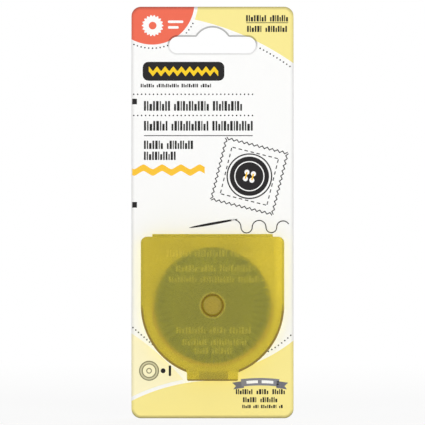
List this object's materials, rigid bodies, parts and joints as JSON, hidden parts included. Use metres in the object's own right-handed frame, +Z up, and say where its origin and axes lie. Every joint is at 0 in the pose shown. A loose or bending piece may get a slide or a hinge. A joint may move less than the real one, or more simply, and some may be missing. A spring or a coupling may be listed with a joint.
{
  "type": "carded rotary cutter blade pack",
  "caption": "Hang card with a hinged translucent blade case fixed to its face and a pinking rotary blade seated on the post inside.",
  "frame": {"origin": "where a hook bears: the top of the hanging slot's dome, in the middle of the card's thickness", "axes": "+X to the right as seen from the printed face, +Y from the printed face to the back, +Z up"},
  "size_m": [0.0636, 0.0074, 0.1613],
  "materials": {
    "card": "coated printed board",
    "foam_tape": "soft foam tape",
    "case": "frosted translucent amber polypropylene",
    "blade": "ground tool steel"
  },
  "bodies": {
    "card_and_base": {"hang_card": "card", "adhesive_pad": "foam_tape", "case_base": "case", "pinking_blade": "blade"},
    "lid": {"case_lid": "case"}
  },
  "joints": [
    {"name": "lid_hinge", "type": "hinge", "parent": "card_and_base", "child": "lid", "pos_m": [0, -0.00445, -0.0811], "axis": [-1, 0, 0], "range_deg": [0, 175]}
  ]
}
